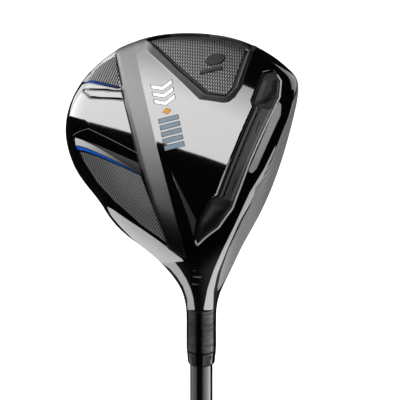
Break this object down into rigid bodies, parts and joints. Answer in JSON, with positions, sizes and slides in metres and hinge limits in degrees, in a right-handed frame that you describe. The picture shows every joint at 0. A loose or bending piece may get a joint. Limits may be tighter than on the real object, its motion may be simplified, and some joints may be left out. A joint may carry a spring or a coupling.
{
  "type": "fairway wood",
  "caption": "Right-handed fairway wood: hollow steel head with bonded carbon crown, welded face plate and slotted sole, on a tapered graphite shaft with a rubber grip.",
  "frame": {"origin": "centre of the end face of the grip cap, on the shaft axis", "axes": "+Z along the shaft axis from the grip to the head, +X towards the target (the way the face looks), the sole faces mostly -Y"},
  "size_m": [0.0887, 0.0976, 1.138],
  "materials": {
    "steel": "gloss black plated steel with satin and textured zones",
    "face_steel": "satin brushed steel, milled lines",
    "carbon": "clear-coated carbon composite",
    "adhesive": "cured structural epoxy",
    "insert_rubber": "moulded polyurethane, satin",
    "badge_metal": "textured plate, dark nickel",
    "tape": "double-sided tape",
    "hot_melt": "hot-melt glue",
    "plug_plastic": "nylon",
    "shaft_graphite": "gloss black paint on carbon fibre",
    "tip_brass": "turned brass",
    "ferrule_plastic": "polished cellulose acetate",
    "grip_rubber": "moulded rubber with a fine texture"
  },
  "bodies": {
    "root": {"head_body": "steel", "face_plate": "face_steel", "crown_panel": "carbon", "crown_bond": "adhesive", "slot_insert": "insert_rubber", "slot_bond": "adhesive", "toe_badge": "badge_metal", "badge_tape": "tape", "glue_drop": "hot_melt", "hosel_plug": "plug_plastic", "shaft": "shaft_graphite", "tip_weight": "tip_brass", "shaft_bond": "adhesive", "ferrule": "ferrule_plastic", "grip": "grip_rubber", "grip_cap": "grip_rubber", "grip_tape": "tape"}
  },
  "joints": []
}
